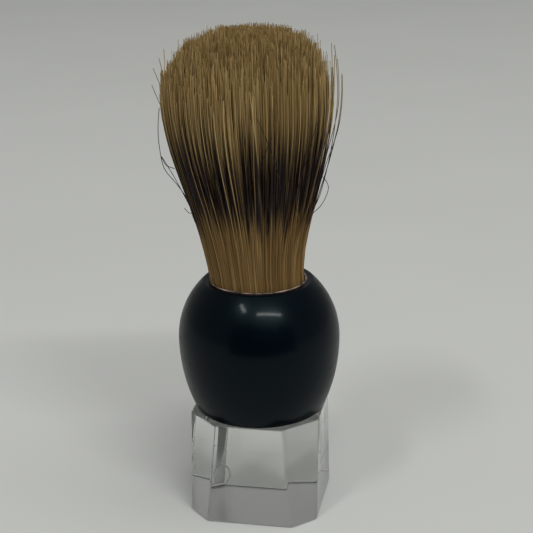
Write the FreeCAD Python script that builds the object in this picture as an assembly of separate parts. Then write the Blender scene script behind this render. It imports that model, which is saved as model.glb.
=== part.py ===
import FreeCAD, Part
import math
import os

# Shaving brush: a bristle knot set in a turned resin ball, which is cemented on a clear block.
# Millimetres, +Z up. The origin is the centre of the foot's underside, and the foot's flats face X and Y.

# Foot: a block, square in plan, whose four upright corners are cut away more at the top than at the bottom.
FOOT_WIDTH = 28.0
FOOT_HEIGHT = 22.8
FOOT_CORNER_CUT_BOTTOM = 4.7
FOOT_CORNER_CUT_TOP = 6.8
FOOT_SIDE_ROUND = 1.2
FOOT_BOTTOM_ROUND = 0.8
FOOT_TOP_ROUND = 0.25

# Spigot: the short round tenon on the foot that locates the ball.
SPIGOT_RADIUS = 5.0
SPIGOT_HEIGHT = 4.0

# Cement layers.
FOOT_FILM = 0.15
SOCKET_FILM = 0.4

# Ball: a sphere above its widest circle, and a longer half ellipse below it.
BALL_RADIUS = 17.4
BALL_WAIST_HEIGHT = 15.85
BALL_SEAT_INSET = 0.1
BALL_BASE_ROUND = 0.3
MOUTH_RIM = 1.4
MOUTH_ROUND = 0.5
SOCKET_DEPTH = 18.0
BEAD_DEPTH = 0.8
BEAD_RISE = 0.1

# Knot: the bundle of hair, its cast plug and the thread that binds its butts.
KNOT_RADIUS = 10.0
PLUG_WALL = 1.2
PLUG_FLOOR = 2.0
THREAD_RADIUS = 0.3
WHIPPING_TURNS = 8
WHIPPING_LIFT = 1.0
ROOT_COVER = 1.5

# Tuft: the free hair, which widens from the knot to its crown.
TUFT_RADIUS = 16.8
TUFT_HEIGHT = 53.2
CROWN_HEIGHT = 13.8
SIDE_ROOT_PULL = 11.4
SIDE_CROWN_PULL = 14.0
SIDE_ROOT_SPREAD = 0.4
SIDE_CROWN_SPREAD = 0.3
CROWN_FULLNESS = 0.68

# Bends: the tuft flexes about two centres on its axis, through ball-shaped faces with a gap between them.
LOWER_BEND_HEIGHT = 10.0
UPPER_BEND_HEIGHT = 26.4
UPPER_BEND_RADIUS = 17.2
BEND_GAP = 0.4

# Places that follow from the sizes above.
SEAT_RADIUS = FOOT_WIDTH / 2 - BALL_SEAT_INSET
BALL_BASE_Z = FOOT_HEIGHT + FOOT_FILM
BALL_WAIST_Z = BALL_BASE_Z + BALL_WAIST_HEIGHT
SOCKET_RADIUS = KNOT_RADIUS + SOCKET_FILM
MOUTH_RADIUS = SOCKET_RADIUS + MOUTH_RIM
MOUTH_Z = BALL_WAIST_Z + math.sqrt(BALL_RADIUS**2 - MOUTH_RADIUS**2)
SOCKET_FLOOR_Z = MOUTH_Z - SOCKET_DEPTH
SPIGOT_TOP_Z = FOOT_HEIGHT + SPIGOT_HEIGHT
PLUG_BASE_Z = SOCKET_FLOOR_Z + SOCKET_FILM
LOWER_BEND_Z = MOUTH_Z + LOWER_BEND_HEIGHT
UPPER_BEND_Z = MOUTH_Z + UPPER_BEND_HEIGHT
DISH_RADIUS = math.hypot(KNOT_RADIUS, LOWER_BEND_HEIGHT)
PLUG_TOP_Z = LOWER_BEND_Z - DISH_RADIUS - ROOT_COVER
BUTT_RADIUS = KNOT_RADIUS - PLUG_WALL
BUTT_Z = PLUG_BASE_Z + PLUG_FLOOR
TUFT_WIDEST_Z = MOUTH_Z + TUFT_HEIGHT - CROWN_HEIGHT
TUFT_TOP_Z = MOUTH_Z + TUFT_HEIGHT


def point(radius, z):
    """A point of a turned outline: its distance from the axis and its height."""
    return FreeCAD.Vector(radius, 0, z)


def line(start, end):
    """A straight edge between two outline points, each (radius, z)."""
    return Part.makeLine(point(*start), point(*end))


def bezier(*poles):
    """A smooth edge that starts at the first pole, ends at the last and leans towards the others."""
    curve = Part.BezierCurve()
    curve.setPoles([point(*p) for p in poles])
    return curve.toShape()


def turned(edges):
    """The solid made by turning a closed outline once round the Z axis."""
    face = Part.Face(Part.Wire(edges))
    return face.revolve(FreeCAD.Vector(0, 0, 0), FreeCAD.Vector(0, 0, 1), 360)


def turned_polygon(*corners):
    """A turned solid whose outline is straight between its (radius, z) corners."""
    closed = list(corners) + [corners[0]]
    return turned([line(a, b) for a, b in zip(closed, closed[1:])])


def cylinder(radius, low_z, high_z):
    """An upright cylinder on the axis."""
    return Part.makeCylinder(radius, high_z - low_z, FreeCAD.Vector(0, 0, low_z))


def sphere(radius, centre_z):
    """A ball centred on the axis."""
    return Part.makeSphere(radius, FreeCAD.Vector(0, 0, centre_z))


def rounded_rims(solid, radius, z, round_by):
    """Rounds the full circle of that radius and height."""

    def is_rim(edge):
        box = edge.BoundBox
        flat = box.ZLength < 1e-6 and abs(box.ZMin - z) < 1e-6
        return flat and abs(box.XMax - radius) < 1e-3

    return solid.makeFillet(round_by, [e for e in solid.Edges if is_rim(e)])


def octagon(corner_cut, z):
    """Corners of the foot's plan, anticlockwise: a square with its corners cut by corner_cut each way."""
    half = FOOT_WIDTH / 2
    short = half - corner_cut
    quarter = [(half, -short), (half, short)]
    corners = []
    for turn in range(4):
        c, s = round(math.cos(turn * math.pi / 2)), round(math.sin(turn * math.pi / 2))
        corners += [FreeCAD.Vector(c * x - s * y, s * x + c * y, z) for x, y in quarter]
    return corners


def foot_block():
    """The clear block with its tapered corner cuts, rounded edges and round spigot."""
    bottom = octagon(FOOT_CORNER_CUT_BOTTOM, 0)
    top = octagon(FOOT_CORNER_CUT_TOP, FOOT_HEIGHT)
    outlines = [bottom[::-1], top]
    for i in range(len(bottom)):
        j = (i + 1) % len(bottom)
        outlines.append([bottom[i], bottom[j], top[j], top[i]])
    faces = [Part.Face(Part.makePolygon(o + [o[0]])) for o in outlines]
    block = Part.Solid(Part.Shell(faces))

    def level(edge, z):
        return abs(edge.BoundBox.ZMin - z) < 1e-6 and edge.BoundBox.ZLength < 1e-6

    upright = [e for e in block.Edges if e.BoundBox.ZLength > FOOT_HEIGHT / 2]
    block = block.makeFillet(FOOT_SIDE_ROUND, upright)
    block = block.makeFillet(FOOT_BOTTOM_ROUND, [e for e in block.Edges if level(e, 0)])
    block = block.makeFillet(FOOT_TOP_ROUND, [e for e in block.Edges if level(e, FOOT_HEIGHT)])
    return block.fuse(cylinder(SPIGOT_RADIUS, FOOT_HEIGHT, SPIGOT_TOP_Z))


def foot_cement():
    """The film between ball and foot, with a cup round the spigot."""
    cup_radius = SPIGOT_RADIUS + FOOT_FILM
    cup_top = SPIGOT_TOP_Z + FOOT_FILM
    edge_radius = SEAT_RADIUS - BALL_BASE_ROUND
    return turned_polygon(
        (SPIGOT_RADIUS, FOOT_HEIGHT),
        (edge_radius, FOOT_HEIGHT),
        (edge_radius, BALL_BASE_Z),
        (cup_radius, BALL_BASE_Z),
        (cup_radius, cup_top),
        (0, cup_top),
        (0, SPIGOT_TOP_Z),
        (SPIGOT_RADIUS, SPIGOT_TOP_Z),
    )


def lower_flank():
    """The ball's side from its base to its widest circle: a quarter ellipse cut off at the seat."""
    half_height = BALL_WAIST_HEIGHT / math.sqrt(1 - (SEAT_RADIUS / BALL_RADIUS) ** 2)
    steps = 8
    points = []
    for i in range(steps + 1):
        drop = BALL_WAIST_HEIGHT * (1 - i / steps)
        radius = BALL_RADIUS * math.sqrt(1 - (drop / half_height) ** 2)
        points.append(point(radius, BALL_WAIST_Z - drop))
    curve = Part.BSplineCurve()
    curve.interpolate(points)
    return curve.toShape()


def upper_flank():
    """The ball's side from its widest circle to its mouth: an arc of its sphere."""
    half_turn = math.acos(MOUTH_RADIUS / BALL_RADIUS) / 2
    middle = point(
        BALL_RADIUS * math.cos(half_turn),
        BALL_WAIST_Z + BALL_RADIUS * math.sin(half_turn),
    )
    return Part.Arc(point(BALL_RADIUS, BALL_WAIST_Z), middle, point(MOUTH_RADIUS, MOUTH_Z)).toShape()


def handle_ball():
    """The turned resin ball, bored from above for the knot and from below for the spigot."""
    bore_radius = SPIGOT_RADIUS + FOOT_FILM
    bore_top = SPIGOT_TOP_Z + FOOT_FILM
    outline = [
        line((bore_radius, BALL_BASE_Z), (SEAT_RADIUS, BALL_BASE_Z)),
        lower_flank(),
        upper_flank(),
        line((MOUTH_RADIUS, MOUTH_Z), (SOCKET_RADIUS, MOUTH_Z)),
        line((SOCKET_RADIUS, MOUTH_Z), (SOCKET_RADIUS, SOCKET_FLOOR_Z)),
        line((SOCKET_RADIUS, SOCKET_FLOOR_Z), (0, SOCKET_FLOOR_Z)),
        line((0, SOCKET_FLOOR_Z), (0, bore_top)),
        line((0, bore_top), (bore_radius, bore_top)),
        line((bore_radius, bore_top), (bore_radius, BALL_BASE_Z)),
    ]
    ball = turned(outline)
    ball = rounded_rims(ball, SEAT_RADIUS, BALL_BASE_Z, BALL_BASE_ROUND)
    return rounded_rims(ball, MOUTH_RADIUS, MOUTH_Z, MOUTH_ROUND)


def socket_cement():
    """The cement cup that beds the plug and the lowest hair in the socket."""
    sleeve_top = MOUTH_Z - BEAD_DEPTH
    return turned_polygon(
        (0, SOCKET_FLOOR_Z),
        (SOCKET_RADIUS, SOCKET_FLOOR_Z),
        (SOCKET_RADIUS, sleeve_top),
        (KNOT_RADIUS, sleeve_top),
        (KNOT_RADIUS, PLUG_BASE_Z),
        (0, PLUG_BASE_Z),
    )


def rim_bead():
    """The bead that closes the joint at the mouth, a little higher against the hair."""
    return turned_polygon(
        (KNOT_RADIUS, MOUTH_Z - BEAD_DEPTH),
        (SOCKET_RADIUS, MOUTH_Z - BEAD_DEPTH),
        (SOCKET_RADIUS, MOUTH_Z),
        (KNOT_RADIUS, MOUTH_Z + BEAD_RISE),
    )


def butt_whipping():
    """Turns of thread round the hair butts: a band with one half-round ridge for each turn."""
    low_z = BUTT_Z + WHIPPING_LIFT
    pitch = 2 * THREAD_RADIUS
    high_z = low_z + WHIPPING_TURNS * pitch
    band_radius = BUTT_RADIUS + THREAD_RADIUS
    ridges = []
    for turn in range(WHIPPING_TURNS):
        start = low_z + turn * pitch
        crest = point(band_radius + THREAD_RADIUS, start + THREAD_RADIUS)
        ridges.append(Part.Arc(point(band_radius, start), crest, point(band_radius, start + pitch)).toShape())
    outline = [line((BUTT_RADIUS, low_z), (band_radius, low_z))]
    outline += ridges
    outline.append(line((band_radius, high_z), (BUTT_RADIUS, high_z)))
    outline.append(line((BUTT_RADIUS, high_z), (BUTT_RADIUS, low_z)))
    return turned(outline)


def knot_plug():
    """The cast plug: a cup of resin round the hair butts and their whipping."""
    plug = cylinder(KNOT_RADIUS, PLUG_BASE_Z, PLUG_TOP_Z)
    plug = plug.cut(cylinder(BUTT_RADIUS, BUTT_Z, PLUG_TOP_Z))
    return plug.cut(butt_whipping())


def bristle_roots():
    """The hair that the plug and the cement hold still, with a ball-shaped dish where the free hair begins."""
    butts = cylinder(BUTT_RADIUS, BUTT_Z, PLUG_TOP_Z)
    stem = cylinder(KNOT_RADIUS, PLUG_TOP_Z, MOUTH_Z)
    return butts.fuse(stem).cut(sphere(DISH_RADIUS, LOWER_BEND_Z))


def tuft_outline():
    """The whole tuft as one turned solid, from the top of the plug to the crown."""
    widest = (TUFT_RADIUS, TUFT_WIDEST_Z)
    crown_reach = CROWN_FULLNESS * TUFT_RADIUS
    crown_rise = CROWN_FULLNESS * CROWN_HEIGHT
    side = bezier(
        (KNOT_RADIUS, MOUTH_Z),
        (KNOT_RADIUS + SIDE_ROOT_SPREAD, MOUTH_Z + SIDE_ROOT_PULL),
        (TUFT_RADIUS - SIDE_CROWN_SPREAD, TUFT_WIDEST_Z - SIDE_CROWN_PULL),
        widest,
    )
    crown = bezier(
        widest,
        (TUFT_RADIUS, TUFT_WIDEST_Z + crown_rise),
        (crown_reach, TUFT_TOP_Z),
        (0, TUFT_TOP_Z),
    )
    return turned(
        [
            line((0, PLUG_TOP_Z), (KNOT_RADIUS, PLUG_TOP_Z)),
            line((KNOT_RADIUS, PLUG_TOP_Z), (KNOT_RADIUS, MOUTH_Z)),
            side,
            crown,
            line((0, TUFT_TOP_Z), (0, PLUG_TOP_Z)),
        ]
    )


def above_ball_face(solid, radius, centre_z):
    """What of a solid lies above a ball-shaped face that bulges down from centre_z."""
    reach = 2 * TUFT_RADIUS
    under = cylinder(reach, PLUG_BASE_Z, centre_z)
    return solid.cut(under.cut(sphere(radius, centre_z)))


def lower_bristles():
    """The free hair from the mouth to the dark band, which bends to the front and back."""
    zone = above_ball_face(tuft_outline(), DISH_RADIUS - BEND_GAP, LOWER_BEND_Z)
    zone = zone.common(cylinder(2 * TUFT_RADIUS, PLUG_BASE_Z, UPPER_BEND_Z))
    return zone.cut(sphere(UPPER_BEND_RADIUS + BEND_GAP, UPPER_BEND_Z))


def upper_bristles():
    """The free hair from the dark band to the crown, which bends to the sides."""
    return above_ball_face(tuft_outline(), UPPER_BEND_RADIUS, UPPER_BEND_Z)


PIECES = [
    foot_block,
    foot_cement,
    handle_ball,
    socket_cement,
    rim_bead,
    knot_plug,
    butt_whipping,
    bristle_roots,
    lower_bristles,
    upper_bristles,
]

os.makedirs("parts", exist_ok=True)
for make in PIECES:
    shape = make()
    shape.exportStep(f"parts/{make.__name__}.step")
    print(make.__name__, len(shape.Solids), "solid", f"{shape.Volume / 1000:.3f} cm3", shape.isValid())
print(f"mouth {MOUTH_Z:.4f}  bends {LOWER_BEND_Z:.4f} and {UPPER_BEND_Z:.4f}  top {TUFT_TOP_Z:.4f}")
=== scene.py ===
# %% [markdown]
# # A shaving brush with a clear foot
# The brush is a bundle of boar bristle, dyed dark across its middle, cemented into a turned black
# ball that stands on a clear block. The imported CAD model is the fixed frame. The main sizes and places
# below are read from it, so the finished pieces fall exactly where the plain ones were.

# %% Load the frame and read its sizes
import math

import bpy
import numpy as np
from mathutils import Euler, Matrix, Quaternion, Vector


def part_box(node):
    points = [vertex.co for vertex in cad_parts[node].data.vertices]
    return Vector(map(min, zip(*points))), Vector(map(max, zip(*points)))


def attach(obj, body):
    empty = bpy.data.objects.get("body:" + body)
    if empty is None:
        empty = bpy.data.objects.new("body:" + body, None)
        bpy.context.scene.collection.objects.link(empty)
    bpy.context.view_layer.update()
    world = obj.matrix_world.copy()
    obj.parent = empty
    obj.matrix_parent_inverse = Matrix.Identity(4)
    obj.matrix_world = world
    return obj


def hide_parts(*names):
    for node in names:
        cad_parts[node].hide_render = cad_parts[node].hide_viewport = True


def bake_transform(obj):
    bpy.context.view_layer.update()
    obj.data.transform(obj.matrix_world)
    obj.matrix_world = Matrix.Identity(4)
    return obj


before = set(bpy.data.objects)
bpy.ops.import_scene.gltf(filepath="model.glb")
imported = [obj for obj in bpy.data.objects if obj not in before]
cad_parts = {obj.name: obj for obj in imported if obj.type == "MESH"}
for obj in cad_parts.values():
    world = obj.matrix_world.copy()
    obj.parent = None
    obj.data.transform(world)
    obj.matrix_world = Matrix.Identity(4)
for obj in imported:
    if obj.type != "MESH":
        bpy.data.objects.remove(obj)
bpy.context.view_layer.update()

MM = 0.001
mouth_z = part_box("handle_ball")[1].z
ball_base_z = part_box("handle_ball")[0].z
ball_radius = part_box("handle_ball")[1].x
foot_half_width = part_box("foot_block")[1].x
spigot_top_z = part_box("foot_block")[1].z
knot_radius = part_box("bristle_roots")[1].x
butt_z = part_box("bristle_roots")[0].z
plug_top_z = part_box("knot_plug")[1].z
socket_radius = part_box("rim_bead")[1].x
tuft_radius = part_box("upper_bristles")[1].x
crown_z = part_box("upper_bristles")[1].z
print(f"mouth {mouth_z / MM:.1f} mm up, crown {crown_z / MM:.1f} mm, knot {2 * knot_radius / MM:.0f} mm")

# %% [markdown]
# ## Camera
# The camera comes first, because a few details (the lean of the worn tuft, its long stray hairs) are
# placed to its left and right. It stands a quarter of a metre away and looks down by 18 degrees. A long
# lens close by keeps the clear foot large at the bottom without much distortion.

# %% Place the camera
CAMERA_TURN = math.radians(11.2)
CAMERA_PITCH = math.radians(18.1)
CAMERA_ROLL = math.radians(-0.89)
CAMERA_BACK = 262.9 * MM
CAMERA_SIDE = 1.8 * MM
CAMERA_HEIGHT = 140.1 * MM
SENSOR_WIDTH = 36.0
LENS = 87.64

to_right = np.array([math.cos(CAMERA_TURN), math.sin(CAMERA_TURN), 0.0])
to_camera = np.array([math.sin(CAMERA_TURN), -math.cos(CAMERA_TURN), 0.0])

camera_data = bpy.data.cameras.new("camera")
camera_data.lens = LENS
camera_data.sensor_width = SENSOR_WIDTH
camera_data.clip_start = 0.01
camera = bpy.data.objects.new("camera", camera_data)
camera.location = CAMERA_SIDE * to_right + CAMERA_BACK * to_camera + np.array([0, 0, CAMERA_HEIGHT])
level = Euler((math.pi / 2 - CAMERA_PITCH, 0, CAMERA_TURN)).to_matrix()
camera.rotation_euler = (level @ Euler((0, 0, CAMERA_ROLL)).to_matrix()).to_euler()
bpy.context.scene.collection.objects.link(camera)
bpy.context.scene.camera = camera
print("camera at", [round(x, 3) for x in camera.location])

# %% [markdown]
# ## Helpers for meshes
# Every new piece is a surface worked out with numpy: points on a grid, then quads between neighbours.
# Writing whole arrays with foreach_set is far quicker than adding vertices one at a time, which matters
# for thousands of hairs.


# %% Mesh helpers
TURNED_CREASE = math.radians(35)
ON_AXIS = 1e-9


def mesh_object(name, points, quads, triangles=None, crease=None):
    """An object from (n, 3) points, (m, 4) quads and, if given, (k, 3) triangles.

    With a crease angle, quads are shaded smooth except across edges that turn by more than it. Without one
    every face is flat.
    """
    triangles = np.zeros((0, 3), int) if triangles is None else triangles
    sizes = np.concatenate([np.full(len(quads), 4), np.full(len(triangles), 3)])
    corners = np.concatenate([quads.ravel(), triangles.ravel()])
    mesh = bpy.data.meshes.new(name)
    mesh.vertices.add(len(points))
    mesh.vertices.foreach_set("co", points.astype(np.float32).ravel())
    mesh.loops.add(len(corners))
    mesh.loops.foreach_set("vertex_index", corners.astype(np.int32))
    mesh.polygons.add(len(sizes))
    mesh.polygons.foreach_set("loop_start", (np.cumsum(sizes) - sizes).astype(np.int32))
    mesh.polygons.foreach_set("use_smooth", (sizes == 4) & (crease is not None))
    mesh.update(calc_edges=True)
    mesh.validate()
    if crease is not None:
        mesh.set_sharp_from_angle(angle=crease)
    piece = bpy.data.objects.new(name, mesh)
    bpy.context.scene.collection.objects.link(piece)
    return piece


def turned(name, radii, heights, sides=160, wobble=None):
    """A closed turned piece: each outline point (radius, height) is carried once round the Z axis.

    An outline whose first and last points are on the axis is closed there by a fan of triangles, and any
    other outline is joined end to start. wobble(angle, radius, height) may move the grid's points.
    """
    radii, heights = np.asarray(radii, float), np.asarray(heights, float)
    on_axis = radii[0] < ON_AXIS
    angle = np.arange(sides) / sides * 2 * math.pi
    ring_r, ring_z = (radii[1:-1], heights[1:-1]) if on_axis else (radii, heights)
    grid_r = np.repeat(ring_r[:, None], sides, 1)
    grid_z = np.repeat(ring_z[:, None], sides, 1)
    if wobble is not None:
        grid_r, grid_z = wobble(angle[None, :], grid_r, grid_z)
    points = np.stack([grid_r * np.cos(angle), grid_r * np.sin(angle), grid_z], -1).reshape(-1, 3)
    rows = len(ring_r)
    index = np.arange(rows * sides).reshape(rows, sides)
    beside = np.roll(index, -1, axis=1)
    if on_axis:
        low, low_b, high, high_b = index[:-1], beside[:-1], index[1:], beside[1:]
    else:
        low, low_b, high, high_b = index, beside, np.roll(index, -1, axis=0), np.roll(beside, -1, axis=0)
    quads = np.stack([low, low_b, high_b, high], -1).reshape(-1, 4)
    triangles = None
    if on_axis:
        first, last = len(points), len(points) + 1
        points = np.vstack([points, [0, 0, heights[0]], [0, 0, heights[-1]]])
        start_fan = np.stack([np.full(sides, first), beside[0], index[0]], -1)
        end_fan = np.stack([np.full(sides, last), index[-1], beside[-1]], -1)
        triangles = np.vstack([start_fan, end_fan])
    return mesh_object(name, points, quads, triangles, crease=TURNED_CREASE)


def smooth_step(x, low, high):
    """0 below low, 1 above high, and an S curve 3t^2 - 2t^3 in between."""
    t = np.clip((x - low) / (high - low), 0, 1)
    return t * t * (3 - 2 * t)


# %% [markdown]
# ## Helpers for materials
# A material is a small graph of nodes. These helpers keep each recipe short: one makes a material with
# its Principled shader, one adds a node and sets its plain values, and the rest stand for the few pairs of
# nodes that nearly every finish needs: a range, a mix of two colours, a soft noise and the height.


# %% Material helpers
def new_material(name):
    """A material with nodes, and its Principled shader."""
    material = bpy.data.materials.new(name)
    material.use_nodes = True
    return material, material.node_tree.nodes["Principled BSDF"]


def add_node(tree, kind, **values):
    """A node of that kind. A value named like an input sets that input, and any other sets the node."""
    node = tree.nodes.new(kind)
    for name, value in values.items():
        label = name.replace("_", " ")
        if label in node.inputs:
            node.inputs[label].default_value = value
        else:
            setattr(node, name, value)
    return node


def remap(tree, value, start, end, low=0.0, high=1.0, curve="SMOOTHSTEP"):
    """The output of a Map Range node that turns start to end into low to high."""
    node = add_node(tree, "ShaderNodeMapRange", interpolation_type=curve)
    for label, number in (("From Min", start), ("From Max", end), ("To Min", low), ("To Max", high)):
        node.inputs[label].default_value = number
    tree.links.new(value, node.inputs["Value"])
    return node.outputs["Result"]


def mixed(tree, share, first, second, blend="MIX"):
    """The output of a Mix node on two colours, where each is a plain colour or another node's output."""
    node = add_node(tree, "ShaderNodeMix", data_type="RGBA", blend_type=blend)
    for label, colour in (("A", first), ("B", second)):
        if isinstance(colour, tuple):
            node.inputs[label].default_value = (*colour, 1)
        else:
            tree.links.new(colour, node.inputs[label])
    if isinstance(share, float):
        node.inputs["Factor"].default_value = share
    else:
        tree.links.new(share, node.inputs["Factor"])
    return node.outputs["Result"]


def clouds(tree, scale, detail):
    """The output of a noise on Object coordinates."""
    place = add_node(tree, "ShaderNodeTexCoord")
    noise = add_node(tree, "ShaderNodeTexNoise", Scale=scale, Detail=detail)
    tree.links.new(place.outputs["Object"], noise.inputs["Vector"])
    return noise.outputs["Fac"]


def height_of(tree):
    """The height above the floor, in metres, from Object coordinates."""
    place = add_node(tree, "ShaderNodeTexCoord")
    split = add_node(tree, "ShaderNodeSeparateXYZ")
    tree.links.new(place.outputs["Object"], split.inputs[0])
    return split.outputs["Z"]


def wear(material, piece_names):
    """Gives a material to CAD nodes by their slots."""
    for name in piece_names:
        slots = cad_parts[name].data.materials
        slots.clear()
        slots.append(material)


# %% [markdown]
# ### Hairline scratches, shared by the ball and the foot
# Polished plastic that has been handled is covered in very fine scratches. They are made as a node
# group, because two materials use them: noise stretched into short lines, and a softer noise for
# smudges. The group puts out a roughness and a height, and each material sets how strong they are.


# %% Build the scratches group
LINE_TURNS = ((0.4, 0.9, 0.3), (1.2, 0.2, 1.7))
LINE_SQUEEZES = ((900, 60, 900), (60, 800, 800))
LINE_STARTS, LINE_ENDS = 0.62, 0.72
LINE_SHARE = 0.35
ROUGH_STARTS, ROUGH_ENDS = 0.35, 0.95


def hairline_group():
    """A node group: noise squeezed along one axis gives lines, and broad noise gives smudges."""
    tree = bpy.data.node_groups.new("hairline_scratches", "ShaderNodeTree")
    face = tree.interface
    for name, kind, value in (
        ("Scale", "NodeSocketFloat", 1.0),
        ("Clean Roughness", "NodeSocketFloat", 0.05),
        ("Worn Roughness", "NodeSocketFloat", 0.2),
    ):
        face.new_socket(name=name, in_out="INPUT", socket_type=kind).default_value = value
    face.new_socket(name="Roughness", in_out="OUTPUT", socket_type="NodeSocketFloat")
    face.new_socket(name="Height", in_out="OUTPUT", socket_type="NodeSocketFloat")
    start = add_node(tree, "NodeGroupInput")
    end = add_node(tree, "NodeGroupOutput")
    place = add_node(tree, "ShaderNodeTexCoord")
    grown = add_node(tree, "ShaderNodeVectorMath", operation="SCALE")
    tree.links.new(place.outputs["Object"], grown.inputs[0])
    tree.links.new(start.outputs["Scale"], grown.inputs["Scale"])
    lines = []
    for turn, squeeze in zip(LINE_TURNS, LINE_SQUEEZES):
        mapping = add_node(tree, "ShaderNodeMapping", Rotation=turn, Scale=squeeze)
        noise = add_node(tree, "ShaderNodeTexNoise", Scale=1.0, Detail=2.0, Roughness=0.5)
        tree.links.new(grown.outputs["Vector"], mapping.inputs["Vector"])
        tree.links.new(mapping.outputs["Vector"], noise.inputs["Vector"])
        lines.append(remap(tree, noise.outputs["Fac"], LINE_STARTS, LINE_ENDS))
    both = add_node(tree, "ShaderNodeMath", operation="MAXIMUM")
    tree.links.new(lines[0], both.inputs[0])
    tree.links.new(lines[1], both.inputs[1])
    smudge = add_node(tree, "ShaderNodeTexNoise", Scale=140.0, Detail=3.0, Roughness=0.6)
    tree.links.new(grown.outputs["Vector"], smudge.inputs["Vector"])
    worn = add_node(tree, "ShaderNodeMath", operation="MULTIPLY_ADD")
    worn.inputs[1].default_value = LINE_SHARE
    tree.links.new(both.outputs[0], worn.inputs[0])
    tree.links.new(smudge.outputs["Fac"], worn.inputs[2])
    rough = remap(tree, worn.outputs[0], ROUGH_STARTS, ROUGH_ENDS, curve="LINEAR")
    tree.links.new(start.outputs["Clean Roughness"], rough.node.inputs["To Min"])
    tree.links.new(start.outputs["Worn Roughness"], rough.node.inputs["To Max"])
    tree.links.new(rough, end.inputs["Roughness"])
    tree.links.new(both.outputs[0], end.inputs["Height"])
    return tree


scratches = hairline_group()


def add_scratches(material, shader, scale, clean, worn, depth):
    """Puts the scratches group in a material, where it feeds Roughness and, through a Bump node, Normal."""
    tree = material.node_tree
    group = add_node(tree, "ShaderNodeGroup", node_tree=scratches)
    group.inputs["Scale"].default_value = scale
    group.inputs["Clean Roughness"].default_value = clean
    group.inputs["Worn Roughness"].default_value = worn
    bump = add_node(tree, "ShaderNodeBump", Strength=0.3, invert=True)
    bump.inputs["Distance"].default_value = depth
    tree.links.new(group.outputs["Roughness"], shader.inputs["Roughness"])
    tree.links.new(group.outputs["Height"], bump.inputs["Height"])
    tree.links.new(bump.outputs["Normal"], shader.inputs["Normal"])


print("scratches group has", len(scratches.nodes), "nodes")

# %% [markdown]
# ## The ball
# The handle is cast black resin, turned and polished. Its CAD surface is exact, so it only needs its
# finish: nearly black with a trace of blue green, and a polish that is a little blurred by handling. A
# thin coat on top keeps the two small highlights crisp.


# %% Finish the ball
def ball_resin():
    """Blue-black polished resin with handling marks."""
    material, shader = new_material("black_polished_resin")
    tree = material.node_tree
    shader.inputs["IOR"].default_value = 1.5
    shader.inputs["Specular IOR Level"].default_value = 0.085
    shader.inputs["Specular Tint"].default_value = (0.65, 1, 1, 1)
    shader.inputs["Coat Weight"].default_value = 0.1
    shader.inputs["Coat Roughness"].default_value = 0.12
    tint = mixed(tree, clouds(tree, 60.0, 3.0), (0.0001, 0.0012, 0.0032), (0.0004, 0.0024, 0.0055))
    tree.links.new(tint, shader.inputs["Base Color"])
    add_scratches(material, shader, scale=1.0, clean=0.3, worn=0.45, depth=0.01 * MM)
    return material


resin = ball_resin()
wear(resin, ["handle_ball"])
print("ball finished, radius", round(ball_radius / MM, 1), "mm")

# %% [markdown]
# ## The clear foot
# The foot is a solid block of clear acrylic. Its own faces do the work: light is bent on the way in and
# out, and its underside mirrors the back, so the far bottom edge is seen as a line across the front. The
# shader only needs the right index of refraction, 1.49, and a trace of green. The underside is scuffed
# from standing, which blurs what it mirrors.


# %% Make the clear acrylic
SCUFF_REACH = 0.1 * MM
SCUFF_ROUGHNESS = 0.3


def clear_acrylic():
    """Clear acrylic: full transmission, index 1.49, a faintly worn polish and a scuffed underside."""
    material, shader = new_material("clear_acrylic")
    shader.inputs["Base Color"].default_value = (0.985, 1, 0.98, 1)
    shader.inputs["Transmission Weight"].default_value = 1.0
    shader.inputs["IOR"].default_value = 1.49
    add_scratches(material, shader, scale=0.7, clean=0.0, worn=0.04, depth=0.004 * MM)
    tree = material.node_tree
    scuffs = remap(tree, height_of(tree), SCUFF_REACH, 0.0, high=SCUFF_ROUGHNESS, curve="LINEAR")
    polish = shader.inputs["Roughness"].links[0].from_socket
    rougher = add_node(tree, "ShaderNodeMath", operation="MAXIMUM")
    tree.links.new(polish, rougher.inputs[0])
    tree.links.new(scuffs, rougher.inputs[1])
    tree.links.new(rougher.outputs[0], shader.inputs["Roughness"])
    return material


acrylic = clear_acrylic()
print("clear acrylic has", len(acrylic.node_tree.nodes), "nodes")

# %% Shape the clear block
CORNER_STEPS = 7
FOOT_CUT_LOW = 4.7 * MM
FOOT_CUT_HIGH = 6.8 * MM
CORNER_ROUND = 0.3 * MM
BASE_ROUND = 0.55 * MM
LEDGE_ROUND = 0.25 * MM
BEND_STEPS = 5
SIDE_STEPS = 46
foot_top_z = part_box("foot_cement")[0].z
spigot_radius = 5.0 * MM


def rounded_outline(half, cut, soften):
    """The block's outline at each height, as rows of points counter-clockwise from the front left corner.

    Each row is a square of that half width with its corners cut off, which gives eight corners, and each of
    those is softened by a quadratic curve between the two points a little before and after it.
    """
    short = half - cut
    x = np.stack([-short, short, half, half, short, -short, -half, -half], 1)
    y = np.stack([-half, -half, -short, short, half, half, short, -short], 1)
    corner = np.stack([x, y], -1)
    ahead = np.roll(corner, -1, axis=1) - corner
    ahead *= soften / np.linalg.norm(ahead, axis=2, keepdims=True)
    before = corner - np.roll(ahead, 1, axis=1)
    after = corner + ahead
    t = np.linspace(0, 1, CORNER_STEPS)[:, None]
    start, middle, end = before[:, :, None], corner[:, :, None], after[:, :, None]
    curve = (1 - t) ** 2 * start + 2 * t * (1 - t) * middle + t**2 * end
    return curve.reshape(len(half), -1, 2)


def corner_cut(height):
    """How much is cut off a corner, measured along a side: it grows evenly with height."""
    return FOOT_CUT_LOW + (FOOT_CUT_HIGH - FOOT_CUT_LOW) * height / foot_top_z


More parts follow.
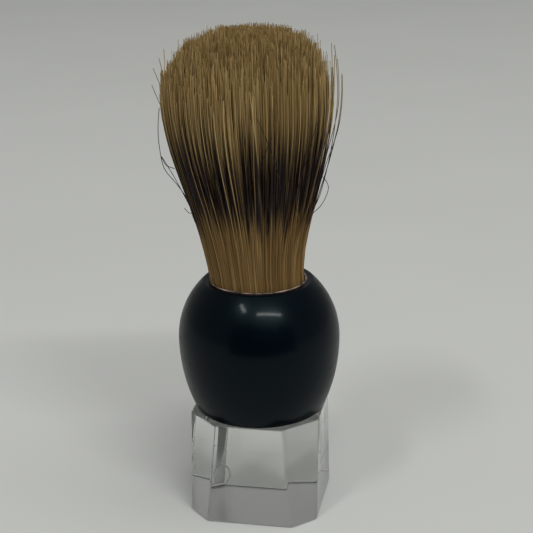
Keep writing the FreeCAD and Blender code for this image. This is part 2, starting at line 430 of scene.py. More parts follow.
def clear_block():
    """The block, ring by ring from its underside to the top of the spigot hidden in the ball."""
    bend = np.linspace(0, math.pi / 2, BEND_STEPS)
    base_z = BASE_ROUND * (1 - np.cos(bend))
    base_in = BASE_ROUND * (1 - np.sin(bend))
    side_z = np.linspace(BASE_ROUND, foot_top_z - LEDGE_ROUND, SIDE_STEPS)[1:-1]
    ledge_z = foot_top_z - LEDGE_ROUND * (1 - np.sin(bend))
    ledge_in = LEDGE_ROUND * (1 - np.cos(bend))
    height = np.concatenate([base_z, side_z, ledge_z])
    inward = np.concatenate([base_in, 0 * side_z, ledge_in])
    cuts = corner_cut(height) - (2 - math.sqrt(2)) * inward
    rings = rounded_outline(foot_half_width - inward, cuts, CORNER_ROUND)
    rings = np.concatenate([rings, height[:, None, None].repeat(rings.shape[1], 1)], 2)
    turn = np.arctan2(rings[-1, :, 1], rings[-1, :, 0])
    post = np.stack([np.cos(turn), np.sin(turn), 0 * turn], 1) * spigot_radius
    post_z = np.array([foot_top_z, spigot_top_z])[:, None, None] * np.array([0, 0, 1.0])
    rings = np.concatenate([rings, post[None] + post_z])
    sides = rings.shape[1]
    index = np.arange(rings.shape[0] * sides).reshape(-1, sides)
    beside = np.roll(index, -1, axis=1)
    quads = np.stack([index[:-1], beside[:-1], beside[1:], index[1:]], -1).reshape(-1, 4)
    points = np.vstack([rings.reshape(-1, 3), [0, 0, 0], [0, 0, spigot_top_z]])
    low_fan = np.stack([np.full(sides, len(points) - 2), beside[0], index[0]], -1)
    high_fan = np.stack([np.full(sides, len(points) - 1), index[-1], beside[-1]], -1)
    return mesh_object("clear_foot", points, quads, np.vstack([low_fan, high_fan]))


foot = clear_block()
foot.data.materials.append(acrylic)
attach(foot, "handle")
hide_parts("foot_block")
print("foot", len(foot.data.polygons), "faces, half width", round(foot_half_width / MM, 1), "mm")

# %% [markdown]
# ### Painted shade on the back left corner
# A grey tapered streak down the block's back left corner, and below it the outline of a drop, are painted
# shade and reflection for the dark wedge that this corner shows, darker towards the top. Both are thin
# strips between two border lines, laid on the corner, so that they are seen through the whole block.


# %% Lay the painted shade on the corner
STRIP_SUNK = 0.03 * MM
STRIP_PROUD = 0.1 * MM
STRIP_DROOP = 0.98
STRIP_STEPS = 13
STRIP_CREASE = math.radians(50)
# Heights over which the painted shade goes from darker grey above to paler grey below.
SHADE_FADES = (9 * MM, 5 * MM)
STREAK_HEIGHTS = np.array([5.1, 9.3, 13.9, 22.6]) * MM
STREAK_LEFT = np.array([-2.97, -3.0, -3.12, -3.4]) * MM
STREAK_RIGHT = np.array([-1.84, -1.07, -0.76, -0.3]) * MM
DROP_CENTRE = np.array([-1.45, 2.4]) * MM
DROP_SIZE = np.array([2.6, 2.95]) * MM
DROP_LINE = 0.36 * MM
DROP_STARTS, DROP_ENDS = 223, -43
STREAK_STEPS, DROP_STEPS = 40, 60


def on_back_corner(s, height, proud):
    """Points on the back left corner of the block, or proud of it.

    s is the distance along the block's outline from the upright edge between the cut corner and the back,
    and it is negative on the cut corner.
    """
    slant = math.sqrt(0.5)
    along = np.minimum(s, 0) * slant
    x = corner_cut(height) - foot_half_width + along + np.maximum(s, 0) - np.where(s < 0, slant, 0) * proud
    y = foot_half_width + along + np.where(s < 0, slant, 1) * proud
    return np.stack([x, y, height], -1)


def shade_strip(name, one_side, other_side, proud):
    """A thin grey strip of painted shade between two border lines, each an (n, 2) array of s and height.

    Its outside bulges as the root of 1 - droop * a^2, with a from -1 to 1 across, and its inside lies a
    little within the block, so that a ray in the block meets the strip first.
    """
    across = np.linspace(-1, 1, STRIP_STEPS)
    share = (across[None, :, None] + 1) / 2
    flat = one_side[:, None] * (1 - share) + other_side[:, None] * share
    bulge = proud * np.sqrt(1 - STRIP_DROOP * across**2)
    outside = on_back_corner(flat[..., 0], flat[..., 1], bulge)
    inside = on_back_corner(flat[..., 0], flat[..., 1], -STRIP_SUNK)
    ring = np.concatenate([outside, inside[:, ::-1]], 1)
    rows, sides = ring.shape[:2]
    index = np.arange(rows * sides).reshape(rows, sides)
    beside = np.roll(index, -1, axis=1)
    around = np.stack([index[:-1], index[1:], beside[1:], beside[:-1]], -1).reshape(-1, 4)
    outer, inner = index[0, : len(across)], index[0, : len(across) - 1 : -1]
    start = np.stack([outer[:-1], outer[1:], inner[1:], inner[:-1]], -1)
    end = start[:, ::-1] + index[-1, 0]
    return mesh_object(name, ring.reshape(-1, 3), np.vstack([around, start, end]), crease=STRIP_CREASE)


def painted_corner_shade():
    """Painted shade for the corner: grey, darker towards the top and paler towards the bottom."""
    material, shader = new_material("painted_corner_shade")
    tree = material.node_tree
    # Painted shade: darker grey above, paler grey below.
    tint = mixed(tree, remap(tree, height_of(tree), *SHADE_FADES), (0.3, 0.3, 0.28), (0.6, 0.6, 0.57))
    tree.links.new(tint, shader.inputs["Base Color"])
    shader.inputs["Roughness"].default_value = 0.5
    return material


streak_up = np.linspace(STREAK_HEIGHTS[0], STREAK_HEIGHTS[-1], STREAK_STEPS)
streak_left = np.stack([np.interp(streak_up, STREAK_HEIGHTS, STREAK_LEFT), streak_up], -1)
streak_right = np.stack([np.interp(streak_up, STREAK_HEIGHTS, STREAK_RIGHT), streak_up], -1)
drop_turn = np.radians(np.linspace(DROP_STARTS, DROP_ENDS, DROP_STEPS))
drop_arch = np.stack([np.cos(drop_turn), np.sin(drop_turn)], -1)
drop_outer = DROP_CENTRE + DROP_SIZE * drop_arch
drop_inner = DROP_CENTRE + (DROP_SIZE - DROP_LINE) * drop_arch
# Painted shade and reflection: a grey streak and a drop outline laid on the corner.
streak = shade_strip("painted_shade_streak", streak_left, streak_right, STRIP_PROUD)
drop = shade_strip("painted_shade_drop_rim", drop_outer, drop_inner, STRIP_PROUD)
corner_shade = painted_corner_shade()
for piece in (streak, drop):
    piece.data.materials.append(corner_shade)
    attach(piece, "handle")
print("cement streak from", round(STREAK_HEIGHTS[0] / MM, 1), "to", round(STREAK_HEIGHTS[-1] / MM, 1), "mm")

# %% [markdown]
# ## The cement under the ball
# A film of cement joins the ball to the foot. Where it wets the clear block there is no air gap, so from
# below the black resin shows straight through. The film is a turned piece that reaches two hundredths of
# a millimetre into the block, so that a ray inside the block always meets the film first.


# %% Make the foot cement
def dark_cement():
    """Cement against black resin: almost black, slightly glossy, with soft patches."""
    material, shader = new_material("dark_cement")
    tree = material.node_tree
    tint = mixed(tree, clouds(tree, 300.0, 2.0), (0.003, 0.004, 0.005), (0.012, 0.013, 0.013))
    tree.links.new(tint, shader.inputs["Base Color"])
    shader.inputs["Roughness"].default_value = 0.35
    return material


SEEP = 0.02 * MM
film_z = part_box("foot_cement")[0].z - SEEP
film_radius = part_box("foot_cement")[1].x
film_top = ball_base_z + SEEP
cup_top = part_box("foot_cement")[1].z
cup_radius = spigot_radius + (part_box("foot_cement")[1].z - spigot_top_z)
film_outline = [
    (0, spigot_top_z - SEEP),
    (spigot_radius - SEEP, spigot_top_z - SEEP),
    (spigot_radius - SEEP, film_z),
    (film_radius, film_z),
    (film_radius, film_top),
    (cup_radius, film_top),
    (cup_radius, cup_top),
    (0, cup_top),
]
foot_film = turned("foot_cement_film", *zip(*film_outline))
foot_film.data.materials.append(dark_cement())
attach(foot_film, "handle")
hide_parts("foot_cement")
print("cement film from", round(film_z / MM, 2), "to", round(cup_top / MM, 2), "mm")

# %% [markdown]
# ## The bead at the mouth
# Where the hair enters the ball, a thin bead of cement was wiped round by hand. It is pale and slightly
# pink, a little uneven in width and height. The outline is a small half-round section, and the wobble is
# a sum of a few waves round the rim.


# %% Make the rim bead
BEAD_WAVES = ((0.5, 3, 0.6), (0.35, 7, 2.1), (0.25, 11, 4.0), (0.2, 23, 1.0))
BEAD_WIDENS = 0.06 * MM
BEAD_RISES = 0.09 * MM
BEAD_LAP = 0.04 * MM
BEAD_DEPTH = 0.8 * MM
BEAD_SINK = 0.02 * MM
BEAD_CROWN = 0.16 * MM


def bead_wobble(angle, radius, height):
    """Raises and widens the bead by a sum of sines of the angle: 3, 7, 11 and 23 waves round the rim."""
    waves = sum(size * np.sin(count * angle + phase) for size, count, phase in BEAD_WAVES)
    proud = smooth_step(height, mouth_z - 0.3 * MM, mouth_z + 0.05 * MM)
    return radius + BEAD_WIDENS * waves * proud, height + BEAD_RISES * waves * proud


def rim_cement():
    """Pale cement with a pink cast, a little translucent, darker where it is thin."""
    material, shader = new_material("rim_cement")
    tree = material.node_tree
    thin = remap(tree, clouds(tree, 420.0, 3.0), 0.38, 0.62, curve="LINEAR")
    tree.links.new(mixed(tree, thin, (0.035, 0.026, 0.02), (0.42, 0.31, 0.28)), shader.inputs["Base Color"])
    shader.inputs["Roughness"].default_value = 0.3
    return material


bead_turn = np.linspace(0, math.pi, 9)
bead_middle = (knot_radius + socket_radius) / 2
bead_half = (socket_radius - knot_radius) / 2 + BEAD_LAP
bead_foot_r = [bead_middle - bead_half, bead_middle + bead_half]
bead_r = np.concatenate([bead_foot_r, bead_middle + bead_half * np.cos(bead_turn)])
bead_top_z = mouth_z - BEAD_SINK + BEAD_CROWN * np.sin(bead_turn)
bead_z = np.concatenate([[mouth_z - BEAD_DEPTH] * 2, bead_top_z])
bead = turned("rim_cement_bead", bead_r, bead_z, sides=240, wobble=bead_wobble)
bead.data.materials.append(rim_cement())
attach(bead, "handle")
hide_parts("rim_bead")
print("bead radius", round(bead_middle / MM, 2), "mm")

# %% [markdown]
# ## The hidden pieces
# The plug, its thread whipping, the socket cement and the hair butts sit inside the ball. They only show
# when the brush is taken apart, but each still gets the finish that it has on the bench.


# %% Finish the plug, the thread and the socket cement
def mottled(name, dark, light, scale, roughness):
    """A plain material whose colour drifts between two shades with noise, with the same noise as bump."""
    material, shader = new_material(name)
    tree = material.node_tree
    noise = clouds(tree, scale, 4.0)
    bump = add_node(tree, "ShaderNodeBump", Strength=0.2)
    bump.inputs["Distance"].default_value = 0.1 * MM
    shader.inputs["Roughness"].default_value = roughness
    tree.links.new(noise, bump.inputs["Height"])
    tree.links.new(mixed(tree, noise, dark, light), shader.inputs["Base Color"])
    tree.links.new(bump.outputs["Normal"], shader.inputs["Normal"])
    return material


wear(mottled("cast_plug_resin", (0.012, 0.007, 0.004), (0.03, 0.018, 0.01), 180, 0.4), ["knot_plug"])
wear(mottled("waxed_thread", (0.2, 0.16, 0.1), (0.34, 0.29, 0.2), 900, 0.7), ["butt_whipping"])
wear(mottled("socket_cement", (0.16, 0.11, 0.08), (0.3, 0.22, 0.17), 260, 0.35), ["socket_cement"])
print("hidden pieces finished")

# %% [markdown]
# ## The tuft
# A knot holds some ten thousand boar bristles. Each hair is a thin three-sided tube along its own path.
# At the mouth the hairs are packed into the knot's circle, and they spread out in proportion to the
# tuft's outline on their way up. Nearby hairs cling together in small clumps, and each hair wanders a
# little, which gives the streaks and the rough edge of a used brush.


# %% The tuft's outline and its crown
SIDE_TOP = 39.4 * MM
CROWN_POWER = 2.2
LEAN_HEIGHTS = np.array([0, 4, 8, 14, 20, 28, 36, 45, 53]) * MM
LEAN_OFFSETS = np.array([0.2, 0.6, 0.75, 0.95, 1.2, 1.6, 1.85, 1.95, 1.9]) * MM
lean_direction = -to_right


def tuft_outline(height):
    """The tuft's radius at a height above the mouth: a cubic Bezier curve from knot to crown edge."""
    t = np.linspace(0, 1, 80)
    side_r = [knot_radius, knot_radius + 0.4 * MM, tuft_radius - 0.3 * MM, tuft_radius]
    side_h = [0, 11.4 * MM, SIDE_TOP - 14 * MM, SIDE_TOP]
    weights = [(1 - t) ** 3, 3 * t * (1 - t) ** 2, 3 * t**2 * (1 - t), t**3]
    curve_r = sum(w * r for w, r in zip(weights, side_r))
    curve_h = sum(w * h for w, h in zip(weights, side_h))
    return np.interp(height, curve_h, curve_r)


def crown_height(spread):
    """How high a hair ends, from 0 at the middle of the knot to 1 at its edge: a full, rounded dome."""
    rise = crown_z - mouth_z - SIDE_TOP
    return SIDE_TOP + rise * (1 - np.clip(spread, 0, 1) ** CROWN_POWER) ** (1 / CROWN_POWER)


def lean_of(height):
    """How far the worn tuft leans to one side at a height above the mouth, read between a few measures."""
    return np.interp(height, LEAN_HEIGHTS, LEAN_OFFSETS)


print("tuft radius halfway up", round(float(tuft_outline(20 * MM)) / MM, 2), "mm")

# %% [markdown]
# ### Where each hair runs
# The roots lie on a sunflower spiral, which fills a circle evenly. Everything is one array with a row for
# each hair and a column for each ring of its tube, so there is no loop over hairs.

# %% Lay out the hairs
HAIR_COUNT = 10500
CLUMPS = 900
CUT = 14.4 * MM
BELOW_MOUTH = -5.0 * MM
rng = np.random.default_rng(20)

number = np.arange(HAIR_COUNT)
root_spread = np.sqrt((number + 0.5) / HAIR_COUNT)
root_angle = number * math.pi * (3 - math.sqrt(5))
roots = root_spread[:, None] * np.stack([np.cos(root_angle), np.sin(root_angle)], -1)
roots += rng.normal(0, 0.006, roots.shape)
roots /= np.maximum(1, np.linalg.norm(roots, axis=1) / 0.995)[:, None]
root_spread = np.linalg.norm(roots, axis=1)

clump_spread = np.sqrt(rng.uniform(0, 1.05, CLUMPS))
clump_angle = rng.uniform(0, 2 * math.pi, CLUMPS)
clump_at = clump_spread[:, None] * np.stack([np.cos(clump_angle), np.sin(clump_angle)], -1)
clump = np.argmin(((roots[:, None] - clump_at[None]) ** 2).sum(-1), axis=1)
clump_sway = rng.normal(0, 0.35 * MM, (CLUMPS, 2))
clump_reach = rng.normal(0, 0.45 * MM, CLUMPS)
print(HAIR_COUNT, "hairs in", CLUMPS, "clumps")

# %% Work out every hair's path
LOW_RINGS = 6
HIGH_RINGS = 8
FREE_STARTS, FREE_ENDS = 3 * MM, 40 * MM
WAVE_RADIAN = 26 * MM
WAVE_FULL = 50 * MM
WAVE_POWER = 1.3
TIP_TILT = 1.0 * MM
SHORT_SHARE = 0.07
WILD_SHARE = 0.06
LOOSE_EDGE = 0.93
LOOSE_SHARE = 0.1


def hair_paths(at, tips, pull, sway, wander):
    """Points along each hair, as an array of hairs by rings by xyz.

    A ring's height runs evenly from below the mouth to the cut, and from there to the tip. Its place is
    the root's place in the knot times the tuft's radius at that height, drawn towards its clump by pull,
    moved by the clump's sway and the hair's own slow wave, and leaning with the whole tuft.
    """
    low = np.linspace(BELOW_MOUTH, CUT, LOW_RINGS)[None].repeat(len(at), 0)
    share = np.linspace(0, 1, HIGH_RINGS + 1)[None, 1:]
    high = CUT + share * (tips[:, None] - CUT)
    height = np.concatenate([low, high], 1)
    freedom = smooth_step(height, FREE_STARTS, FREE_ENDS)
    radius = tuft_outline(height)
    place = at["root"][:, None] + (at["clump"] - at["root"])[:, None] * (pull[:, None] * freedom)[..., None]
    flat = place * radius[..., None] + sway[:, None] * freedom[..., None]
    phase = wander[:, 1:2] + height / WAVE_RADIAN * wander[:, 2:3]
    wave = wander[:, :1] * np.clip(height / WAVE_FULL, 0, None) ** WAVE_POWER
    flat = flat + np.stack([wave * np.cos(phase), wave * np.sin(phase)], -1)
    points = np.concatenate([flat, height[..., None] + mouth_z], -1)
    return points + lean_of(height)[..., None] * lean_direction, height


hair_dtype = [("root", float, 2), ("clump", float, 2)]
laid = np.zeros(HAIR_COUNT, hair_dtype)
laid["root"] = roots
laid["clump"] = clump_at[clump]
tilt = roots @ to_right[:2]
tips = crown_height(root_spread) + clump_reach[clump] + rng.normal(0, 0.55 * MM, HAIR_COUNT)
tips += TIP_TILT * tilt
short = rng.uniform(size=HAIR_COUNT) < SHORT_SHARE
tips -= np.where(short, rng.uniform(1, 8, HAIR_COUNT) * MM, 0)
tips = np.minimum(tips, crown_z - mouth_z)
pull = rng.uniform(0.1, 0.5, HAIR_COUNT)
wander = np.stack(
    [
        np.abs(rng.normal(0, 0.6 * MM, HAIR_COUNT))
        * np.where(rng.uniform(size=HAIR_COUNT) < WILD_SHARE, 2.5, 1),
        rng.uniform(0, 2 * math.pi, HAIR_COUNT),
        rng.uniform(-2.0, 2.0, HAIR_COUNT),
    ],
    -1,
)
splay = rng.normal(0, 0.45 * MM, (HAIR_COUNT, 2))
loose = (root_spread > LOOSE_EDGE) & (rng.uniform(size=HAIR_COUNT) < LOOSE_SHARE)
splay += np.where(loose, rng.uniform(0.6, 2.6, HAIR_COUNT) * MM * (0.8 + 0.4 * tilt), 0)[:, None] * roots
paths, heights = hair_paths(laid, tips, pull, clump_sway[clump] + splay, wander)
thickness = rng.uniform(0.075, 0.125, HAIR_COUNT) * MM
print("longest hair", round(tips.max() / MM, 1), "mm above the mouth")

# %% [markdown]
# ### Tubes along the paths
# A tube has three corners on each ring. Two directions square to the hair carry the corners round, and
# the ends are closed by a triangle. The lower and upper parts of a hair share the ring where they meet.


# %% Turn paths into tubes
def tubes(name, points, radii, facts):
    """One mesh of three-sided tubes from (hairs, rings, 3) points and (hairs, rings) radii.

    Each ring's corners are centre + radius * (cos a * side + sin a * up), for three angles a, where side
    and up are square to the hair's own direction. facts are values per hair and ring, kept as attributes.
    """
    hairs, rings = points.shape[:2]
    along = np.gradient(points, axis=1)
    along /= np.linalg.norm(along, axis=2, keepdims=True)
    turn = (np.arange(hairs) * 2.4)[:, None, None]
    guess = np.concatenate([np.cos(turn), np.sin(turn), np.zeros_like(turn)], -1)
    side = guess - (guess * along).sum(-1, keepdims=True) * along
    side /= np.linalg.norm(side, axis=2, keepdims=True)
    up = np.cross(along, side)
    corner = np.arange(3) * 2 * math.pi / 3
    reach = radii[..., None, None]
    ring = np.cos(corner)[:, None] * side[:, :, None] + np.sin(corner)[:, None] * up[:, :, None]
    vertices = (points[:, :, None] + reach * ring).reshape(-1, 3)
    index = np.arange(hairs * rings * 3).reshape(hairs, rings, 3)
    beside = np.roll(index, -1, axis=2)
    quads = np.stack([index[:, :-1], beside[:, :-1], beside[:, 1:], index[:, 1:]], -1).reshape(-1, 4)
    caps = np.concatenate([index[:, 0, ::-1], index[:, -1]])
    piece = mesh_object(name, vertices, quads, caps)
    for fact, values in facts.items():
        layer = piece.data.attributes.new(fact, "FLOAT", "POINT")
        layer.data.foreach_set("value", np.repeat(values, 3, axis=1).astype(np.float32).ravel())
    return piece


# %% [markdown]
# ### Boar bristle
# The hair is tan, with a band that was dyed nearly black. The dye crept along some hairs more than others
# and missed a few, so the band has a ragged edge. Above the band the hair has bleached with use. Each
# point of a hair carries its height above the mouth, and each hair its own shade, how far the dye crept at
# the bottom and at the top of the band, and how well it took.


# %% Make the bristle material
DYE_BOTTOM = (12.0, 18.0)
DYE_TOP = (38.5, 27.0)
BLEACHED = (12.0, 36.0)


def bristle_material():
    """Tan hair with a dyed band: the product of two S curves of the height, moved by each hair's creep."""
    material, shader = new_material("boar_bristle")
    tree = material.node_tree

    def fact(name):
        return add_node(tree, "ShaderNodeAttribute", attribute_name=name).outputs["Fac"]

    def edge(creep, start, end):
        moved = add_node(tree, "ShaderNodeMath", operation="SUBTRACT")
        tree.links.new(fact("rise"), moved.inputs[0])
        tree.links.new(fact(creep), moved.inputs[1])
        return remap(tree, moved.outputs[0], start, end)

    dyed = add_node(tree, "ShaderNodeMath", operation="MULTIPLY")
    tree.links.new(edge("creep_low", *DYE_BOTTOM), dyed.inputs[0])
    tree.links.new(edge("creep_high", *DYE_TOP), dyed.inputs[1])
    took = add_node(tree, "ShaderNodeMath", operation="MULTIPLY")
    tree.links.new(dyed.outputs[0], took.inputs[0])
    tree.links.new(fact("dye_take"), took.inputs[1])

    tan = add_node(tree, "ShaderNodeValToRGB")
    stops = tan.color_ramp
    stops.elements[0].position = 0.0
    stops.elements[0].color = (0.12, 0.075, 0.026, 1)
    stops.elements[1].position = 1.0
    stops.elements[1].color = (0.34, 0.25, 0.115, 1)
    middle = stops.elements.new(0.45)
    middle.color = (0.22, 0.15, 0.058, 1)
    tree.links.new(fact("shade"), tan.inputs["Fac"])

    cast = mixed(tree, remap(tree, fact("rise"), *BLEACHED), (0.92, 0.79, 0.64), (1.38, 1.34, 1.26))
    hair = mixed(tree, 1.0, tan.outputs["Color"], cast, blend="MULTIPLY")
    tree.links.new(mixed(tree, took.outputs[0], hair, (0.013, 0.006, 0.0058)), shader.inputs["Base Color"])
    shader.inputs["Roughness"].default_value = 0.55
    shader.inputs["Specular IOR Level"].default_value = 0.25
    return material


bristle = bristle_material()
print("bristle material has", len(bristle.node_tree.nodes), "nodes")

# %% Build the lower and upper hair
GROUPS = 4
MISSED_SHARE = 0.16
TAPER = 0.4
TAPER_STARTS, TAPER_ENDS = 20 * MM, 52 * MM


def hair_facts(height, shade, creep_low, creep_high, take):
    """The attributes that the bristle material reads, for each ring of each hair, with the height in mm."""
    ones = np.ones_like(height)
    return {
        "rise": height / MM,
        "shade": shade[:, None] * ones,
        "creep_low": creep_low[:, None] * ones,
        "creep_high": creep_high[:, None] * ones,
        "dye_take": take[:, None] * ones,
    }


clump_shade = rng.normal(0, 0.1, CLUMPS)
shade = np.clip(rng.normal(0.5, 0.2, HAIR_COUNT) + clump_shade[clump], 0, 1)
clump_creep = rng.normal(0, 1.6, (CLUMPS, 2))
creep_low = rng.normal(0, 1.8, HAIR_COUNT) + clump_creep[clump, 0]
creep_high = rng.normal(0, 2.6, HAIR_COUNT) + clump_creep[clump, 1]
missed = rng.uniform(size=HAIR_COUNT) < MISSED_SHARE
take = np.where(missed, rng.uniform(0, 0.5, HAIR_COUNT), 1.0)

narrowing = 1 - TAPER * smooth_step(heights, TAPER_STARTS, TAPER_ENDS)
radii = thickness[:, None] * narrowing
facts = hair_facts(heights, shade, creep_low, creep_high, take)
joined = LOW_RINGS - 1
hair_pieces = []
for group in range(GROUPS):
    mine = np.arange(group, HAIR_COUNT, GROUPS)
    for part, rings in (("lower", slice(0, joined + 1)), ("upper", slice(joined, None))):
        kept = {name: values[mine, rings] for name, values in facts.items()}
        piece = tubes(f"{part}_hair_{group + 1}", paths[mine, rings], radii[mine, rings], kept)
        piece.data.materials.append(bristle)
        hair_pieces.append((piece, part))
        print(piece.name, len(piece.data.polygons), "faces")

# %% [markdown]
# ### Placing the hair
# The frame has two spring hinges in the tuft. Each hair piece only has its placement baked into its
# points, and nothing turns it with the hinges.


def bend_lower(piece):
    """The piece's placement is baked into its points."""
    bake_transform(piece)


def bend_upper(piece):
    """The piece's placement is baked into its points."""
    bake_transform(piece)


# %% [markdown]
# ### Stray hairs
# A used brush always has a few hairs that have sprung out: loops on both sides and long ones past the
# crown. Each stray is drawn as a few points, as distances to the right of the axis, above the mouth
# and towards the camera in millimetres. A Catmull-Rom curve goes through its points.

# %% Add the stray hairs
STRAYS = [
    [
        (-13.4, 14.4, 2), (-14.6, 18.4, 2), (-16.6, 21.6, 2), (-19.0, 24.9, 2),
        (-19.9, 29.2, 1), (-20.1, 33, 0), (-19.7, 37.1, 0),
    ],
    [(-12.9, 14.4, 3), (-16.3, 22.0, 3), (-19.3, 27.5, 3), (-18.4, 26.0, 4), (-16.7, 25.3, 4)],
    [(-13.4, 14.4, 1), (-14.3, 15.0, 1), (-15.2, 16.0, 1)],
    [(-13.2, 14.4, 0), (-16.2, 26, 0), (-18.4, 38.7, 0), (-19.3, 41.8, 0), (-20.6, 45.3, 0)],
    [(-12.7, 14.4, 4), (-15.9, 26, 3), (-17.8, 39.8, 1), (-18.6, 43.9, 0), (-19.3, 47.3, 0)],
    [(-13.3, 14.4, -2), (-16.6, 26, -2), (-19.1, 36.3, -1), (-20.0, 39.2, 0), (-21.0, 41.9, 0)],
    [(-12.3, 14.4, 5), (-15.6, 28, 4), (-18.0, 42.8, 2), (-18.1, 46.5, 1), (-18.2, 49.3, 1)],
    [(11.2, 14.4, 3), (13.2, 16.6, 3), (14.4, 18.8, 3), (14.8, 20.9, 3), (13.5, 23.2, 4), (11.4, 25.2, 5)],
    [(11.4, 14.4, 1), (14.3, 24.6, 1), (16.2, 29.9, 1), (17.3, 33.8, 0), (17.8, 38.6, 0), (17.8, 43.3, 0)],
    [
        (11.2, 14.4, 2), (13.1, 18.6, 2), (15.0, 25.6, 1), (16.2, 32.0, 0),
        (16.9, 39.2, 0), (16.6, 46.0, 0), (16.2, 49.4, 0),
    ],
    [
        (11.4, 14.4, -1), (12.8, 19.2, -1), (14.7, 27.8, 0),
        (15.7, 36.1, 0), (16.1, 42.3, 0), (16.3, 47.4, 0),
    ],
    [(11.0, 14.4, 4), (13.9, 24.6, 3), (15.2, 32.0, 2), (15.8, 40.3, 1), (15.6, 50.0, 1)],
    [(11.4, 14.4, -2), (14.9, 27, -2), (16.9, 35.5, -1), (17.2, 41, -1), (16.9, 46.5, -1)],
    [(10.5, 14.4, 6), (12.0, 21, 6), (14.6, 30, 6), (14.9, 33.5, 5), (15.6, 36.0, 5)],
    [(-3.0, 14.4, 12.2), (-1.5, 22, 14.2), (1.5, 30, 16.2), (4.5, 37.5, 17)],
    [(4.6, 14.4, 11.6), (5.0, 22, 13.9), (3.5, 30, 16.0), (0.5, 38.0, 17.4)],
    [(8.6, 14.4, 8.6), (8.0, 21, 11.5), (9.8, 28, 12.6), (12.2, 36, 11.5)],
    [(-8.8, 14.4, 9.2), (-8.2, 21, 11.9), (-9.8, 29, 13.4), (-11.2, 36, 12.6)],
]
STRAY_RINGS = 25
STRAY_RADIUS = 0.085 * MM
STRAY_WITHIN = 0.985


def stray_path(knots):
    """A Catmull-Rom curve through (right, above the mouth, towards the camera) points in millimetres."""
    knots = np.array(knots, float)
    first = knots[0] * np.array([0.93, 1, 0.93]) - np.array([0, 4, 0])
    last = 2 * knots[-1] - knots[-2]
    knots = np.vstack([first, knots, last])
    share = np.linspace(0, len(knots) - 3, STRAY_RINGS)
    span = np.minimum(share.astype(int), len(knots) - 4)
    t = (share - span)[:, None]
    a, b, c, d = (knots[span + step] for step in range(4))
    curve = 0.5 * (2 * b + (c - a) * t + (2 * a - 5 * b + 4 * c - d) * t**2 + (3 * b - a - 3 * c + d) * t**3)
    right, above, towards = curve.T * MM
    place = right[:, None] * to_right + towards[:, None] * to_camera
    return place + (above + mouth_z)[:, None] * np.array([0, 0, 1.0])


stray_high = np.array([stray_path(knots) for knots in STRAYS])
low_height = heights[0, : joined + 1]
at_cut = stray_high[:, 0, :2] - lean_of(CUT) * lean_direction[:2]
low_flat = at_cut[:, None] * (tuft_outline(low_height) / tuft_outline(CUT))[None, :, None]
low_limit = STRAY_WITHIN * tuft_outline(low_height)
low_flat *= np.minimum(1, low_limit / np.linalg.norm(low_flat, axis=2))[..., None]
low_flat += lean_of(low_height)[:, None] * lean_direction[:2]
low_flat[:, -1] = stray_high[:, 0, :2]
low_tall = (low_height + mouth_z)[None, :, None].repeat(len(STRAYS), 0)
stray_low = np.concatenate([low_flat, low_tall], 2)

stray_shade = rng.uniform(0.1, 0.6, len(STRAYS))
stray_creep = rng.normal(0, 2, (len(STRAYS), 2))
for part, stray in (("lower", stray_low), ("upper", stray_high)):
    above = stray[..., 2] - mouth_z
    kept = hair_facts(above, stray_shade, stray_creep[:, 0], stray_creep[:, 1] + 6, np.ones(len(STRAYS)))
    piece = tubes(f"{part}_stray_hair", stray, np.full(above.shape, STRAY_RADIUS), kept)
    piece.data.materials.append(bristle)
    hair_pieces.append((piece, part))
print(len(STRAYS), "stray hairs")

# %% Bake the placement of all the hair
for piece, part in hair_pieces:
    (bend_lower if part == "lower" else bend_upper)(piece)
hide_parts("lower_bristles")
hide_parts("upper_bristles")

# %% [markdown]
# ### The butts
# Inside the plug the hair butts are one solid mass. Above the plug the free hairs start, so the mass
# stops a little below the mouth, out of sight.

# %% Make the butts
THREAD_DEPTH = 0.6 * MM
BUTTS_BELOW_MOUTH = 2.5 * MM
butt_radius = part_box("butt_whipping")[1].x - THREAD_DEPTH
butt_top = mouth_z - BUTTS_BELOW_MOUTH
loose_radius = knot_radius - 0.05 * MM
butt_outline = [
    (0, butt_z),
    (butt_radius, butt_z),
    (butt_radius, plug_top_z),
    (loose_radius, plug_top_z),
    (loose_radius, butt_top),
    (0, butt_top),
]
butts = turned("hair_butts", *zip(*butt_outline))
butts.data.materials.append(mottled("packed_hair_ends", (0.03, 0.018, 0.007), (0.12, 0.08, 0.03), 1500, 0.8))
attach(butts, "handle")
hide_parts("bristle_roots")
print("butts from", round(butt_z / MM, 1), "to", round(butt_top / MM, 1), "mm")

# %% [markdown]
# ## Stage and light
# A plain pale floor, a dim even sky and three soft lamps. Two narrow lamps above the camera make the two
# small highlights on the ball, and a broad one overhead gives the soft shadow beside the foot. They stand
# well away, so that the floor is evenly lit.


# %% Lay the floor
def floor_material():
    """Plain matt pale grey with a very faint unevenness."""
    material, shader = new_material("pale_floor")
    tree = material.node_tree
    shader.inputs["Roughness"].default_value = 0.7
    shader.inputs["Specular IOR Level"].default_value = 0.2
    tint = mixed(tree, clouds(tree, 9.0, 2.0), (0.6, 0.61, 0.585), (0.64, 0.65, 0.625))
    tree.links.new(tint, shader.inputs["Base Color"])
    return material


FLOOR_REACH = 3.0
FLOOR_GAP = 0.02 * MM
corners = FLOOR_REACH * np.array([[-1, -1, 0], [1, -1, 0], [1, 1, 0], [-1, 1, 0]], float)
corners[:, 2] = -FLOOR_GAP
floor = mesh_object("floor", corners, np.array([[0, 1, 2, 3]]))
floor.data.materials.append(floor_material())
print("floor", 2 * FLOOR_REACH, "m across")


# %% Light the scene
SKY_STEADY = 0.6
LAMP_TARGET = np.array([0, 0, 0.05])


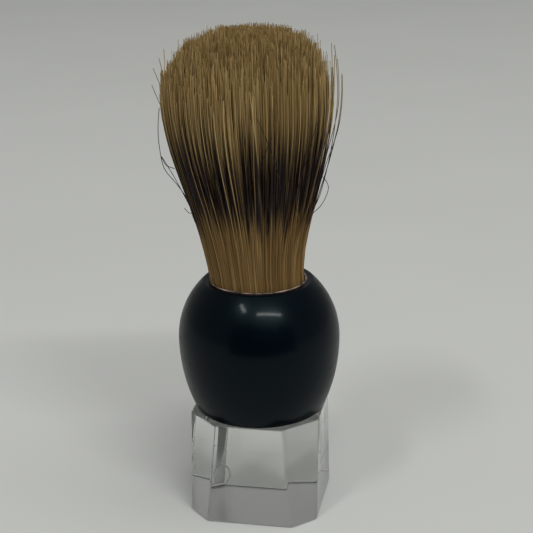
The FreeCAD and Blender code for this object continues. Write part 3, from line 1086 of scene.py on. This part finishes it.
def sky(strength_low, strength_high):
    """An even grey sky, a little dimmer overhead than near the horizon."""
    world = bpy.data.worlds.new("sky")
    bpy.context.scene.world = world
    world.use_nodes = True
    tree = world.node_tree
    place = add_node(tree, "ShaderNodeTexCoord")
    split = add_node(tree, "ShaderNodeSeparateXYZ")
    tree.links.new(place.outputs["Generated"], split.inputs[0])
    climb = remap(tree, split.outputs["Z"], 0.0, SKY_STEADY, strength_low, strength_high, "LINEAR")
    back = tree.nodes["Background"]
    back.inputs["Color"].default_value = (1.0, 1.0, 0.975, 1)
    tree.links.new(climb, back.inputs["Strength"])


def lamp(name, direction, distance, size, power, spin=0.0):
    """A rectangular lamp that points at the brush, turned by spin degrees in its own plane.

    direction is (right, towards the camera, up).
    """
    data = bpy.data.lights.new(name, "AREA")
    data.shape = "RECTANGLE"
    data.size, data.size_y = size
    data.energy = power
    light = bpy.data.objects.new(name, data)
    aim = direction[0] * to_right + direction[1] * to_camera + np.array([0, 0, direction[2]])
    aim = aim / np.linalg.norm(aim)
    light.location = LAMP_TARGET + distance * aim
    light.rotation_mode = "QUATERNION"
    turned_by = Quaternion((0, 0, 1), math.radians(spin))
    light.rotation_quaternion = Vector(aim).to_track_quat("Z", "Y") @ turned_by
    bpy.context.scene.collection.objects.link(light)
    return light


CARD_BACK = 0.2
CARD_LEFT, CARD_RIGHT, CARD_HEIGHT = -0.17, 0.25, 0.17


def dark_card():
    """A black card in front of the brush, as if someone stood there, that only reflections see."""
    material, shader = new_material("dark_card")
    shader.inputs["Base Color"].default_value = (0.004, 0.004, 0.004, 1)
    shader.inputs["Roughness"].default_value = 1.0
    low, high = 0.0, CARD_HEIGHT
    along = np.array([[CARD_LEFT, low], [CARD_RIGHT, low], [CARD_RIGHT, high], [CARD_LEFT, high]])
    points = CARD_BACK * to_camera + along[:, :1] * to_right + along[:, 1:] * np.array([0, 0, 1.0])
    card = mesh_object("dark_card", points, np.array([[0, 1, 2, 3]]))
    card.data.materials.append(material)
    card.visible_camera = False
    card.visible_diffuse = False
    card.visible_transmission = False
    card.visible_shadow = False


sky(0.245, 0.235)
overhead = lamp("overhead", (0.28, 0.2, 1.0), 3.5, (2.6, 2.2), 33.0)
overhead.visible_glossy = False
wide_strip = lamp("wide_strip", (0.24, 0.632, 0.725), 2.0, (1.2, 0.11), 16.0, spin=-12)
small_strip = lamp("small_strip", (-0.36, 0.485, 0.808), 2.0, (0.14, 0.44), 5.8, spin=50)
for strip in (wide_strip, small_strip):
    strip.visible_transmission = False
dark_card()
bpy.context.scene.view_settings.view_transform = "Standard"
